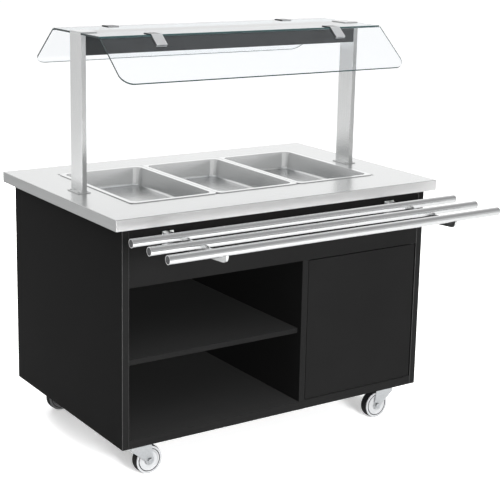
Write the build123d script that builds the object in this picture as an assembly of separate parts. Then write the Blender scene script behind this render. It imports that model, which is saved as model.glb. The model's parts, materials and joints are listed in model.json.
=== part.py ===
"""Heated self-service buffet trolley: black cabinet on casters, stainless worktop with three
food pans in a heated water well, glass canopy with a lamp beam, and a tubular tray slide.

Millimetres. +Z is up, the guests stand on the -Y side (tray slide), the operator on the +Y side.
The origin is on the floor, in the middle of the whole trolley's footprint.
"""
import os
from math import cos, hypot, radians, sin

from build123d import *

# Worktop
side_margin = 146.5
rear_margin = 138.0
top_edge = 36.0
top_sheet = 1.5
top_corner_r = 3.0
top_bend_r = 2.0

# Cabinet carcass
side_overhang = 34.0
front_overhang = 26.0
back_overhang = 26.0
cabinet_height = 720.0
panel = 24.0
panel_edge_r = 1.2
base_thick = 29.0
back_thick = 16.0
ceiling_thick = 16.0
fascia_height = 191.0
left_bay_width = 659.0
shelf_thick = 18.0
shelf_setback = 20.0
lower_bay_height = 242.0

# Cupboard door
door_thick = 18.0
door_recess = 3.0
door_gap = 4.0
door_hinge_gap = 4.0
pivot_inset = 12.0
pivot_r = 4.0
pivot_reach = 12.0
pivot_plate = 26.0
pivot_plate_thick = 2.0
running_gap = 0.05

# Food pans, gastronorm 1/1
pan_width = 325.0
pan_length = 530.0
pan_depth = 65.0
pan_rim = 14.0
pan_rim_height = 4.0
pan_rim_corner_r = 20.0
pan_sheet = 1.2
pan_draft = 9.0
pan_corner_r = 26.0
pan_foot_r = 12.0
pan_spacing = 1.0
pan_count = 3
pan_setback = 172.0

# Water well
well_clear = 4.0
well_depth = 112.0
well_sheet = 1.5
well_corner_r = 22.0
well_foot_r = 10.0
cutout_clear = 2.0
well_flange = 18.0
core_clear = 3.0
rest_bar_width = 20.0
rest_bar_height = 14.0

# Heating element and drain
heater_r = 4.25
heater_lift = 16.0
heater_lanes = 4
heater_lane_gap = 90.0
heater_end_margin = 60.0
heater_bend_clear = 1.0
terminal_thick = 18.0
terminal_width = 60.0
terminal_height = 36.0
drain_r = 16.0
drain_wall = 2.0
drain_inset_x = 150.0
drain_flange_r = 30.0
drain_flange_thick = 3.0
drain_pipe_length = 132.0
valve_r = 26.0
valve_height = 58.0
valve_collar_r = 23.0
valve_collar_height = 10.0
valve_spout_length = 40.0
stem_r = 6.0
stem_reach = 22.0
lever_hub_r = 11.0
lever_hub_thick = 8.0
lever_length = 82.0
lever_width = 16.0
lever_thick = 5.0

# Controls on the operator side
control_inset = 277.0
control_width = 320.0
control_height = 116.0
control_thick = 2.0
control_corner_r = 6.0
knob_r = 25.0
knob_skirt_r = 29.0
knob_skirt = 5.0
knob_height = 22.0
knob_gap = 0.5
knob_grips = 12
knob_grip_r = 3.0
knob_shaft_r = 4.0
knob_shaft_reach = 16.0
knob_shaft_clear = 1.0
knob_grip_out = 1.0
knob_offset = -88.0
switch_gap = 62.0
switch_offset = 26.0
bezel_width = 34.0
bezel_height = 28.0
bezel_proud = 2.5
bezel_depth = 15.0
bezel_wall = 3.5
bezel_lip = 1.0
rocker_gap = 0.4
rocker_slack = 0.5
rocker_taper = 1.0
rocker_pivot_depth = 3.0
rocker_crown = 5.0
rocker_dip = 2.6
rocker_back = 6.0
rocker_pin_r = 1.5
rocker_pin_reach = 1.4
rocker_tilt = 8.0
lamp_lens_r = 7.0
lamp_lens_height = 5.0
lamp_lens_flange_r = 9.0
lamp_lens_flange = 2.0
lamp_lens_offset = 38.0
box_width = 300.0
box_depth = 84.0
box_height = 150.0
box_wall = 1.5
gland_r = 11.0
gland_hex = 28.0
gland_hex_height = 8.0
gland_length = 24.0
gland_bore_r = 5.0
gland_lip = 1.0
gland_inset = 57.0
gland_height = 90.0
vent_count = 9
vent_gap = 16.0
vent_width = 90.0
vent_slot = 6.0
vent_height = 330.0

# Canopy
post_side = 18.0
post_face = 80.0
post_wall = 1.5
post_edge_r = 2.0
post_inset = 78.0
glass_inset = 1.5
foot_plate_side = 46.0
foot_plate_face = 80.0
foot_plate_thick = 3.0
foot_plate_r = 3.0
cap_plate_side = 59.0
cap_plate_thick = 3.0
canopy_height = 521.0
glass = 6.0
glass_gap = 3.0
top_glass_depth = 332.0
wing_out = 154.0
wing_down = 129.0
wing_corner_r = 42.0
beam_height = 66.0
beam_wall = 2.0
beam_edge_r = 2.0
diffuser_thick = 3.0
diffuser_lip = 6.0
diffuser_clear = 0.5
lamp_r = 8.0
lamp_spread = 17.0
lamp_drop = 24.0
lamp_holder_thick = 12.0
lamp_holder_width = 26.0
lamp_holder_below = 11.0
clip_inset = 201.0
clip_width = 40.0
clip_thick = 2.5
clip_top_reach = 46.0
clip_wing_reach = 48.0
clip_bend_r = 7.0

# Tray slide
tube_r = 14.0
tube_wall = 2.0
tube_spacing = 107.0
tube_first = 92.0
tube_drop = 50.0
plug_recess = 1.5
plug_depth = 12.0
bracket_inset = 193.0
bracket_plate_width = 40.0
bracket_plate_thick = 4.0
bracket_plate_below = 4.0
bracket_width = 8.0
bracket_saddle = 5.0
bracket_nose_back = 3.0
bracket_nose_depth = 33.0
bracket_root_depth = 53.0
bracket_nose_r = 20.0

# Casters
caster_height = 126.0
caster_inset_x = 96.0
caster_inset_y = 70.0
caster_trail = 32.0
wheel_r = 48.0
wheel_width = 32.0
tyre_thick = 5.0
flange_r = 46.5
flange = 4.0
tyre_shoulder_r = 1.2
wheel_groove_r = 36.5
wheel_groove_width = 3.0
wheel_groove_depth = 4.5
wheel_dish_r = 30.0
wheel_dish_depth = 3.0
hub_r = 15.0
plate_length = 104.0
plate_face = 84.0
plate_thick = 4.0
plate_corner_r = 10.0
plate_bolt_x = 80.0
plate_bolt_y = 60.0
plate_bolt_r = 4.2
race_r = 30.0
race_height = 9.0
race_edge_r = 3.0
kingpin_r = 6.0
kingpin_head_r = 11.0
kingpin_head = 3.0
swivel_gap = 0.5
crown_r = 32.0
crown_thick = 5.0
cheek = 3.0
cheek_gap = 2.0
cheek_boss_r = 15.0
fork_front = 36.0
fork_back = 38.0
fork_web_drop = 34.0
axle_r = 5.0
axle_head_r = 9.0
axle_head = 5.0
brake_reach = 58.0
brake_angle = 45.0
brake_ear_r = 9.0
brake_pin_r = 3.0
brake_hub_r = 6.5
pedal_length = 42.0
pedal_width = 40.0
pedal_thick = 4.0
pedal_drop = 14.0

# Levels and edges that follow from the sizes above
pan_row = pan_count * pan_width + (pan_count - 1) * pan_spacing
pan_pitch = pan_width + pan_spacing
top_width = pan_row + 2 * side_margin
top_depth = pan_setback + pan_length + rear_margin
slide_reach = tube_first + 2 * tube_spacing + tube_r
overall_depth = top_depth + slide_reach
back_y = overall_depth / 2
front_y = back_y - top_depth
mid_y = (front_y + back_y) / 2
half_top = top_width / 2
cab_x = half_top - side_overhang
cab_in = cab_x - panel
cab_front = front_y + front_overhang
cab_back = back_y - back_overhang
base_top = caster_height + base_thick
cab_top = caster_height + cabinet_height
top_z = cab_top + top_edge
fascia_low = cab_top - fascia_height
inner_back = cab_back - back_thick
bay_x = -cab_in + left_bay_width

seat_z = top_z - top_sheet
tub_width = pan_width - 2 * pan_rim
tub_length = pan_length - 2 * pan_rim
well_x = pan_row - 2 * pan_rim + 2 * well_clear
well_y = tub_length + 2 * well_clear
well_floor = seat_z - well_depth
drain_x = well_x / 2 - drain_inset_x

post_x = half_top - post_inset
glass_top = top_z + canopy_height
glass_low = glass_top - glass
canopy_front = mid_y - top_glass_depth / 2
wing_length = hypot(wing_out, wing_down)
tube_z = top_z - tube_drop
glass_x = post_x - glass_inset
clip_offset = glass_x - clip_inset
bracket_offset = half_top - bracket_inset
pan_y = front_y + pan_setback + pan_length / 2

pivot_x = cab_in - door_hinge_gap - pivot_inset
pivot_y = cab_front + door_recess + door_thick / 2
control_x = cab_in - control_inset
gland_x = cab_in - gland_inset
control_z = fascia_low + fascia_height / 2
knob_x = control_x + knob_offset
switch_places = (control_x + switch_offset, control_x + switch_offset + switch_gap)
rocker_y = cab_back + control_thick + bezel_proud - rocker_pivot_depth
valve_top = well_floor - well_sheet - drain_pipe_length
stem_z = valve_top - valve_height / 2
pedal_x = caster_trail + brake_reach * cos(radians(brake_angle))
pedal_z = wheel_r + brake_reach * sin(radians(brake_angle))


def span(middle, size):
    """Lower and upper limit of a size laid out evenly about its middle."""
    return middle - size / 2, middle + size / 2


def block(x_limits, y_limits, z_limits):
    """Box between three pairs of limits."""
    limits = (x_limits, y_limits, z_limits)
    sizes = [high - low for low, high in limits]
    middles = [(high + low) / 2 for low, high in limits]
    return Pos(*middles) * Box(*sizes)


def board(x_limits, y_limits, z_limits):
    """Carcass board with softened edges."""
    slab = block(x_limits, y_limits, z_limits)
    return fillet(slab.edges(), panel_edge_r)


def slab_at(x, y, z, outline, height):
    """Outline laid flat at a point and raised by a height, downwards if negative."""
    return Pos(x, y, z) * extrude(outline, height)


def rod(start, direction, radius, length):
    """Cylinder from a point along a direction."""
    return extrude(Plane(start, z_dir=direction) * Circle(radius), length)


def save(node, *solids):
    """Write one named sub-part, as a group where it has several solids."""
    shape = solids[0] if len(solids) == 1 else Compound(list(solids))
    export_step(shape, f"parts/{node}.step")


def make_carcass():
    """Black cabinet: sides, base, partition, fascias, back, bay ceiling and shelf."""
    depth = (cab_front, cab_back)
    bay_depth = (cab_front, inner_back)
    inside = (-cab_in, cab_in)
    fascia_z = (fascia_low, cab_top)
    rear_inner = cab_back - panel
    save("side_panel_left", board((-cab_x, -cab_in), depth, (caster_height, cab_top)))
    save("side_panel_right", board((cab_in, cab_x), depth, (caster_height, cab_top)))
    save("base_panel", board(inside, bay_depth, (caster_height, base_top)))
    save("partition_panel", board((bay_x, bay_x + panel), bay_depth, (base_top, fascia_low)))
    save("front_fascia", board(inside, (cab_front, cab_front + panel), fascia_z))

    back = board(inside, (inner_back, cab_back), (caster_height, fascia_low))
    for index in range(vent_count):
        slot_z = caster_height + vent_height + (index - (vent_count - 1) / 2) * vent_gap
        slot = Plane((control_x, cab_back, slot_z), x_dir=(1, 0, 0), z_dir=(0, -1, 0))
        back -= extrude(slot * SlotOverall(vent_width, vent_slot), 2 * back_thick, both=True)
    gland_hole = (gland_x, cab_back, caster_height + gland_height)
    back -= rod(gland_hole, (0, -1, 0), gland_bore_r, back_thick)
    save("back_panel", back)

    rear = board(inside, (rear_inner, cab_back), fascia_z)
    knob_hole_r = knob_shaft_r + knob_shaft_clear
    rear -= rod((knob_x, cab_back, control_z), (0, -1, 0), knob_hole_r, knob_shaft_reach)
    for switch_x in switch_places:
        rear -= switch_body(switch_x)
    save("rear_fascia", rear)

    ceiling = block(inside, (cab_front + panel, rear_inner), (fascia_low, fascia_low + ceiling_thick))
    ceiling -= slab_at(drain_x, pan_y, fascia_low, Circle(drain_r + core_clear), ceiling_thick)
    save("bay_ceiling", ceiling)

    shelf_low = base_top + lower_bay_height
    shelf_y = (cab_front + shelf_setback, inner_back)
    save("storage_shelf", board((-cab_in, bay_x), shelf_y, (shelf_low, shelf_low + shelf_thick)))


def make_door():
    """Inset door of the right bay, turning on a pin plate at its top and bottom corner."""
    front = cab_front + door_recess
    low = base_top + door_gap
    high = fascia_low - door_gap
    door = board(
        (bay_x + panel + door_gap, cab_in - door_hinge_gap), (front, front + door_thick), (low, high)
    )
    bore_r = pivot_r + running_gap
    bore_depth = pivot_reach + door_gap
    door -= rod((pivot_x, pivot_y, low), (0, 0, 1), bore_r, bore_depth)
    door -= rod((pivot_x, pivot_y, high), (0, 0, -1), bore_r, bore_depth)
    save("cupboard_door", door)

    plate = Rectangle(pivot_plate, door_thick)
    foot = slab_at(cab_in - pivot_plate / 2, pivot_y, base_top, plate, pivot_plate_thick)
    foot += rod((pivot_x, pivot_y, base_top), (0, 0, 1), pivot_r, door_gap + pivot_reach)
    head = slab_at(cab_in - pivot_plate / 2, pivot_y, fascia_low, plate, -pivot_plate_thick)
    head += rod((pivot_x, pivot_y, fascia_low), (0, 0, -1), pivot_r, door_gap + pivot_reach)
    save("door_pivots", foot, head)


def make_worktop():
    """Folded stainless worktop, its board core and the hung water well."""
    cutout = Rectangle(pan_row + 2 * cutout_clear, pan_length + 2 * cutout_clear)
    flange = Rectangle(
        pan_row + 2 * cutout_clear + 2 * well_flange, pan_length + 2 * cutout_clear + 2 * well_flange
    )
    around = 2 * (well_sheet + core_clear)
    core_hole = Rectangle(well_x + around, well_y + around)

    skin = block((-half_top, half_top), (front_y, back_y), (cab_top, top_z))
    skin = fillet(skin.edges().filter_by(Axis.Z), top_corner_r)
    skin = fillet(skin.faces().sort_by(Axis.Z)[-1].edges(), top_bend_r)
    inner_x = (-half_top + top_sheet, half_top - top_sheet)
    inner_y = (front_y + top_sheet, back_y - top_sheet)
    core = block(inner_x, inner_y, (cab_top, seat_z))
    core = fillet(core.edges().filter_by(Axis.Z), top_corner_r - top_sheet)
    skin -= core
    skin -= slab_at(0, pan_y, top_z, cutout, -top_edge)
    save("worktop", skin)

    core -= slab_at(0, pan_y, seat_z, flange, -well_sheet)
    core -= slab_at(0, pan_y, seat_z, core_hole, -top_edge)
    save("worktop_core", core)

    mouth = RectangleRounded(well_x, well_y, well_corner_r)
    shell = RectangleRounded(well_x + 2 * well_sheet, well_y + 2 * well_sheet, well_corner_r + well_sheet)
    tank = extrude(shell, -well_depth - well_sheet)
    tank = fillet(tank.faces().sort_by(Axis.Z)[0].edges(), well_foot_r + well_sheet)
    hollow = extrude(mouth, -well_depth)
    hollow = fillet(hollow.faces().sort_by(Axis.Z)[0].edges(), well_foot_r)
    tank += extrude(flange, -well_sheet)
    tank -= hollow
    tank = Pos(0, pan_y, seat_z) * tank
    tank -= rod((drain_x, pan_y, well_floor), (0, 0, -1), drain_r - drain_wall, well_sheet)
    save("water_well", tank)

    bars = []
    for index in range(pan_count - 1):
        bar_x = (index - (pan_count - 2) / 2) * pan_pitch
        bar_z = (seat_z - rest_bar_height, seat_z)
        bars.append(block(span(bar_x, rest_bar_width), span(pan_y, well_y), bar_z))
    save("pan_rest_bars", *bars)


def food_pan(x):
    """Drawn gastronorm pan with a tapered tub, a flat rim and a turned-down lip."""
    rim = extrude(RectangleRounded(pan_width, pan_length, pan_rim_corner_r), pan_rim_height)
    rim = fillet(rim.faces().sort_by(Axis.Z)[-1].edges(), pan_sheet)
    lip_in = RectangleRounded(
        pan_width - 2 * pan_sheet, pan_length - 2 * pan_sheet, pan_rim_corner_r - pan_sheet
    )
    rim -= extrude(lip_in, pan_rim_height - pan_sheet)
    outer = tub(0.0)
    inner = Pos(0, 0, pan_rim_height) * tub(pan_sheet)
    pan = rim + Pos(0, 0, pan_rim_height) * outer - inner
    return Pos(x, pan_y, seat_z) * pan


def tub(wall):
    """Tapered tub below its mouth, drawn in by a wall thickness and that much shallower."""
    depth = pan_depth - wall
    foot_width = tub_width - 2 * pan_draft
    foot_length = tub_length - 2 * pan_draft
    mouth = RectangleRounded(tub_width - 2 * wall, tub_length - 2 * wall, pan_corner_r - wall)
    foot = RectangleRounded(foot_width - 2 * wall, foot_length - 2 * wall, pan_corner_r - wall)
    body = loft([mouth.face(), (Pos(0, 0, -depth) * foot).face()])
    return fillet(body.faces().sort_by(Axis.Z)[0].edges(), pan_foot_r - wall)


def make_pans():
    """Row of food pans hanging by their rims in the worktop cut-out."""
    for index, place in enumerate(("left", "middle", "right")):
        save(f"food_pan_{place}", food_pan((index - (pan_count - 1) / 2) * pan_pitch))


def make_heating():
    """Sheathed element that snakes over the well floor, with its terminal block outside."""
    lane_y = [pan_y + (index - (heater_lanes - 1) / 2) * heater_lane_gap for index in range(heater_lanes)]
    wall_x = well_x / 2
    near_x = wall_x - heater_end_margin
    z = well_floor + heater_lift
    points = [(wall_x, lane_y[0], z)]
    for index, y in enumerate(lane_y):
        ends = (-near_x, near_x) if index % 2 == 0 else (near_x, -near_x)
        if index > 0:
            points.append((ends[1], y, z))
        points.append((ends[0], y, z))
    points[-1] = (wall_x, lane_y[-1], z)
    path = FilletPolyline(*points, radius=heater_lane_gap / 2 - heater_bend_clear)
    element = sweep(Plane(path @ 0, z_dir=path % 0) * Circle(heater_r), path=path)
    terminal_x = (wall_x + well_sheet, wall_x + well_sheet + terminal_thick)
    terminals = []
    for y in (lane_y[0], lane_y[-1]):
        terminals.append(block(terminal_x, span(y, terminal_width), span(z, terminal_height)))
    feet = []
    for y in lane_y:
        foot_x = span(0, rest_bar_width)
        feet.append(block(foot_x, span(y, 2 * heater_r), (well_floor, z - heater_r)))
    save("heating_element", element, *terminals, *feet)


def make_drain():
    """Drain pipe under the well, ball valve and its quarter-turn lever."""
    top = well_floor - well_sheet
    pipe = rod((drain_x, pan_y, top), (0, 0, -1), drain_flange_r, drain_flange_thick)
    pipe += rod((drain_x, pan_y, top), (0, 0, -1), drain_r, drain_pipe_length)
    pipe -= rod((drain_x, pan_y, top), (0, 0, -1), drain_r - drain_wall, drain_pipe_length)
    save("drain_pipe", pipe)

    barrel = rod((drain_x, pan_y, valve_top), (0, 0, -1), valve_r, valve_height)
    barrel = fillet(barrel.edges(), valve_collar_height / 2)
    for collar_top in (valve_top, valve_top - valve_height + valve_collar_height):
        collar = RegularPolygon(valve_collar_r, 6)
        barrel += slab_at(drain_x, pan_y, collar_top, collar, -valve_collar_height)
    spout_z = valve_top - valve_height
    barrel += rod((drain_x, pan_y, spout_z), (0, 0, -1), drain_r, valve_spout_length)
    barrel -= rod((drain_x, pan_y, spout_z), (0, 0, -1), drain_r - drain_wall, valve_spout_length)
    barrel += rod((drain_x, pan_y, stem_z), (0, -1, 0), stem_r, valve_r + stem_reach)
    save("drain_valve", barrel)

    hub_y = pan_y - valve_r - stem_reach + lever_hub_thick
    lever = rod((drain_x, hub_y, stem_z), (0, -1, 0), lever_hub_r, lever_hub_thick)
    grip = Plane((drain_x, hub_y, stem_z), x_dir=(1, 0, 0), z_dir=(0, -1, 0))
    arm = Pos(lever_length / 2, 0) * SlotCenterToCenter(lever_length, lever_width)
    lever += extrude(grip * arm, lever_thick)
    lever -= rod((drain_x, hub_y, stem_z), (0, -1, 0), stem_r + running_gap, lever_hub_thick)
    save("drain_lever", lever)


def switch_body(x):
    """Space that a rocker switch takes up through the plate and the rear fascia."""
    front = cab_back + control_thick + bezel_proud
    x_limits = span(x, bezel_width - 2 * bezel_lip)
    return block(x_limits, (front - bezel_depth, front), span(control_z, bezel_height - 2 * bezel_lip))


def rocker(x):
    """Rocker cap with a shallow V face and a pivot pin at each side, resting in its off position."""
    pocket_x = bezel_width - 2 * bezel_wall
    pocket_z = bezel_height - 2 * bezel_wall
    half = pocket_z / 2 - rocker_gap - rocker_slack
    outline = Polyline(
        (-rocker_back, -half + rocker_taper), (rocker_crown, -half), (rocker_dip, 0), (rocker_crown, half),
        (-rocker_back, half - rocker_taper), close=True,
    )
    side = Plane((x - pocket_x / 2 + rocker_gap, rocker_y, control_z), x_dir=(0, 1, 0), z_dir=(1, 0, 0))
    profile = Rot(0, 0, -rocker_tilt) * make_face(outline)
    cap = extrude(side * profile, pocket_x - 2 * rocker_gap)
    reach = pocket_x + 2 * rocker_pin_reach
    return cap + rod((x - reach / 2, rocker_y, control_z), (1, 0, 0), rocker_pin_r, reach)


def make_controls():
    """Operator's plate with thermostat knob, two rocker switches and a pilot lamp."""
    face_y = cab_back + control_thick
    wall = Plane((control_x, cab_back, control_z), x_dir=(1, 0, 0), z_dir=(0, 1, 0))
    plate = extrude(wall * RectangleRounded(control_width, control_height, control_corner_r), control_thick)
    plate -= rod((knob_x, cab_back, control_z), (0, 1, 0), knob_shaft_r + running_gap, control_thick)
    for switch_x in switch_places:
        plate -= switch_body(switch_x)
    save("control_plate", plate)

    knob_y = face_y + knob_gap
    knob = rod((knob_x, knob_y, control_z), (0, 1, 0), knob_skirt_r, knob_skirt)
    grip = rod((knob_x, knob_y, control_z), (0, 1, 0), knob_r, knob_height)
    grip = fillet(grip.faces().sort_by(Axis.Y)[-1].edges(), knob_grip_r)
    for index in range(knob_grips):
        turn = radians(360 / knob_grips * (index + 0.5))
        groove_x = knob_x + (knob_r + knob_grip_out) * cos(turn)
        groove_z = control_z + (knob_r + knob_grip_out) * sin(turn)
        grip -= rod((groove_x, knob_y + knob_skirt, groove_z), (0, 1, 0), knob_grip_r, knob_height)
    knob += grip
    knob += rod((knob_x, knob_y, control_z), (0, -1, 0), knob_shaft_r, knob_shaft_reach)
    save("thermostat_knob", knob)

    housings = []
    for switch_x in switch_places:
        housing = switch_body(switch_x)
        rim_y = (face_y, face_y + bezel_proud)
        housing += block(span(switch_x, bezel_width), rim_y, span(control_z, bezel_height))
        pocket_x = span(switch_x, bezel_width - 2 * bezel_wall)
        pocket_z = span(control_z, bezel_height - 2 * bezel_wall)
        pocket_y = (face_y + bezel_proud - bezel_depth + bezel_wall / 2, face_y + bezel_proud)
        housing -= block(pocket_x, pocket_y, pocket_z)
        pin_reach = bezel_width - 2 * bezel_wall + 2 * rocker_pin_reach + 2 * running_gap
        pin_start = (switch_x - pin_reach / 2, rocker_y, control_z)
        housing -= rod(pin_start, (1, 0, 0), rocker_pin_r + running_gap, pin_reach)
        housings.append(housing)
    save("switch_housings", *housings)
    for name, switch_x in zip(("heat_switch", "light_switch"), switch_places):
        save(name, rocker(switch_x))

    lens_at = (switch_places[0], face_y, control_z + lamp_lens_offset)
    lens = rod(lens_at, (0, 1, 0), lamp_lens_flange_r, lamp_lens_flange)
    dome = rod(lens_at, (0, 1, 0), lamp_lens_r, lamp_lens_height + lamp_lens_flange)
    lens += fillet(dome.faces().sort_by(Axis.Y)[-1].edges(), lamp_lens_height / 2)
    save("pilot_lamp", lens)

    rear_inner = cab_back - panel
    low = fascia_low + ceiling_thick
    box = block(span(control_x, box_width), (rear_inner - box_depth, rear_inner), (low, low + box_height))
    hollow_y = (rear_inner - box_depth + box_wall, rear_inner)
    hollow_z = (low + box_wall, low + box_height - box_wall)
    box -= block(span(control_x, box_width - 2 * box_wall), hollow_y, hollow_z)
    save("electric_box", box)

    at = (gland_x, cab_back, caster_height + gland_height)
    wall = Plane(at, x_dir=(1, 0, 0), z_dir=(0, 1, 0))
    gland = extrude(wall * RegularPolygon(gland_hex / 2, 6), gland_hex_height)
    cap = rod(at, (0, 1, 0), gland_r, gland_length)
    gland += fillet(cap.faces().sort_by(Axis.Y)[-1].edges(), gland_r - gland_bore_r - gland_lip)
    gland -= rod(at, (0, 1, 0), gland_bore_r, gland_length)
    save("cable_gland", gland)


def make_posts():
    """Two flat hollow posts on screwed foot plates, each with a lip that covers the glass edge."""
    low = top_z + foot_plate_thick
    feet = []
    caps = []
    for name, side in (("left", -1), ("right", 1)):
        x = side * (post_x - post_side / 2)
        outer = RectangleRounded(post_side, post_face, post_edge_r)
        inner = Rectangle(post_side - 2 * post_wall, post_face - 2 * post_wall)
        post = slab_at(x, mid_y, low, outer, glass_low - low)
        post -= slab_at(x, mid_y, low, inner, glass_low - low - 2 * post_wall)
        lip_x = sorted((side * (post_x - glass_inset), side * post_x))
        post += block(lip_x, span(mid_y, post_face - 2 * post_edge_r), (glass_low, glass_top))
        save(f"post_{name}", post)
        foot = RectangleRounded(foot_plate_side, foot_plate_face, foot_plate_r)
        feet.append(slab_at(x, mid_y, top_z, foot, foot_plate_thick))
        cap_x = side * (post_x - cap_plate_side / 2)
        cover = RectangleRounded(cap_plate_side, foot_plate_face, foot_plate_r)
        cap = slab_at(cap_x, mid_y, glass_top, cover, cap_plate_thick)
        caps.append(fillet(cap.faces().sort_by(Axis.Z)[-1].edges(), panel_edge_r))
    save("post_foot_plates", *feet)
    save("glass_cap_plates", *caps)


def make_beam():
    """Lamp beam between the posts: channel housing, lamps with holders, and diffuser."""
    half = post_x - post_side
    low = glass_low - beam_height
    inner = post_face - 2 * beam_wall
    beam = block((-half, half), span(mid_y, post_face), (low, glass_low))
    beam = fillet(beam.edges().filter_by(Axis.X), beam_edge_r)
    inside_x = (-half + beam_wall, half - beam_wall)
    inside_z = (low + beam_wall, glass_low - beam_wall)
    beam -= block(inside_x, span(mid_y, inner), inside_z)
    beam -= block(inside_x, span(mid_y, inner - 2 * diffuser_lip), (low, low + beam_wall))
    save("lamp_beam", beam)

    pane_x = (inside_x[0] + diffuser_clear, inside_x[1] - diffuser_clear)
    pane_z = (low + beam_wall, low + beam_wall + diffuser_thick)
    save("lamp_diffuser", block(pane_x, span(mid_y, inner - 2 * diffuser_clear), pane_z))

    lamp_z = glass_low - lamp_drop
    holder_z = (lamp_z - lamp_holder_below, inside_z[1])
    pieces = []
    for lane in (-1, 1):
        lamp_y = mid_y + lane * lamp_spread
        lamp_from = inside_x[0] + lamp_holder_thick
        pieces.append(rod((lamp_from, lamp_y, lamp_z), (1, 0, 0), lamp_r, -2 * lamp_from))
        for low_x in (inside_x[0], -lamp_from):
            holder_x = (low_x, low_x + lamp_holder_thick)
            pieces.append(block(holder_x, span(lamp_y, lamp_holder_width), holder_z))
    save("lamps", *pieces)


def wing_pane():
    """Guest-side wing of the canopy, sloping out and down, with rounded lower corners."""
    start = 2 * glass_gap
    pane = Pos(0, (start + wing_length) / 2) * Rectangle(2 * glass_x, wing_length - start)
    pane = fillet(pane.vertices().group_by(Axis.Y)[-1], wing_corner_r)
    slope = Plane(
        (0, canopy_front, glass_top), x_dir=(-1, 0, 0), z_dir=(0, -wing_down, wing_out)
    )
    return extrude(slope * pane, -glass)


def clip_jaw(offset):
    """Bent clip plate lying on the panes, offset up from their outer faces."""
    flat = Vector(0, 0, 1)
    lean = Vector(0, -wing_down, wing_out).normalized()
    mitre = (flat + lean).normalized()
    stretch = 1 / mitre.dot(flat)
    corner = Vector(0, canopy_front, glass_top)
    inner_end = corner + Vector(0, clip_top_reach, 0)
    outer_end = corner + Vector(0, -wing_out, -wing_down).normalized() * clip_wing_reach
    near = offset
    far = offset + clip_thick
    outline = Polyline(
        inner_end + flat * near, corner + mitre * (near * stretch), outer_end + lean * near,
        outer_end + lean * far, corner + mitre * (far * stretch), inner_end + flat * far, close=True,
    )
    strip = make_face(outline)
    for level, bend in ((near, clip_bend_r), (far, clip_bend_r + clip_thick)):
        bent = strip.vertices().sort_by_distance(corner + mitre * (level * stretch))[0]
        strip = fillet(bent, bend)
    return extrude(strip, clip_width / 2, dir=(1, 0, 0), both=True)


def make_canopy():
    """Top pane, two sloping wings and the clips that hold them together."""
    mirror_y = Plane((0, mid_y, 0), x_dir=(1, 0, 0), z_dir=(0, 1, 0))
    pane_y = span(mid_y, top_glass_depth - 2 * glass_gap)
    save("top_glass", block((-glass_x, glass_x), pane_y, (glass_low, glass_top)))
    front = wing_pane()
    save("front_glass", front)
    save("rear_glass", mirror(front, about=mirror_y))

    jaws = []
    for clip_x in (-clip_offset, clip_offset):
        for offset in (0, -glass - clip_thick):
            jaw = Pos(clip_x, 0, 0) * clip_jaw(offset)
            jaws += [jaw, mirror(jaw, about=mirror_y)]
    save("glass_clips", *jaws)


def tray_bracket(side):
    """Gusset arm under the tubes, with a saddle for each tube and a plate bolted to the fascia."""
    nose_y = front_y - slide_reach + bracket_nose_back
    top = tube_z - tube_r + bracket_saddle
    low_nose = tube_z - bracket_nose_depth
    low_root = tube_z - bracket_root_depth
    outline = Polyline(
        (cab_front, top), (nose_y, top), (nose_y, low_nose), (cab_front, low_root), close=True
    )
    face = make_face(Plane.YZ * outline)
    nose = face.vertices().sort_by(Axis.Y)[:2].sort_by(Axis.Z)[0]
    face = fillet(nose, bracket_nose_r)
    arm = extrude(face, bracket_width / 2, dir=(1, 0, 0), both=True)
    for index in range(3):
        tube_y = front_y - tube_first - index * tube_spacing
        arm -= rod((-bracket_width, tube_y, tube_z), (1, 0, 0), tube_r, 2 * bracket_width)
    plate_y = (cab_front - bracket_plate_thick, cab_front)
    arm += block(span(0, bracket_plate_width), plate_y, (low_root - bracket_plate_below, top))
    return Pos(side * bracket_offset, 0, 0) * arm


def make_tray_slide():
    """Three tubes with end plugs on two bolted brackets."""
    tubes = []
    plugs = []
    for index in range(3):
        tube_y = front_y - tube_first - index * tube_spacing
        start = (-half_top, tube_y, tube_z)
        tube = rod(start, (1, 0, 0), tube_r, top_width)
        tubes.append(tube - rod(start, (1, 0, 0), tube_r - tube_wall, top_width))
        for side in (-1, 1):
            outer_end = (side * (half_top - plug_recess), tube_y, tube_z)
            plugs.append(rod(outer_end, (-side, 0, 0), tube_r - tube_wall, plug_depth))
    save("tray_tubes", *tubes)
    save("tube_end_plugs", *plugs)
    save("tray_bracket_left", tray_bracket(-1))
    save("tray_bracket_right", tray_bracket(1))


def caster_plate():
    """Bolted top plate with its bearing race and riveted kingpin, swivel axis at the origin."""
    top = caster_height
    plate = RectangleRounded(plate_length, plate_face, plate_corner_r)
    holes = GridLocations(plate_bolt_x, plate_bolt_y, 2, 2) * Circle(plate_bolt_r)
    part = slab_at(0, 0, top, plate - holes, -plate_thick)
    race = rod((0, 0, top - plate_thick), (0, 0, -1), race_r, race_height)
    part += fillet(race.faces().sort_by(Axis.Z)[0].edges(), race_edge_r)
    pin_length = race_height + swivel_gap + crown_thick + swivel_gap + kingpin_head
    part += rod((0, 0, top - plate_thick), (0, 0, -1), kingpin_r, pin_length)
    head_top = top - plate_thick - pin_length + kingpin_head
    return part + rod((0, 0, head_top), (0, 0, -1), kingpin_head_r, kingpin_head)


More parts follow.
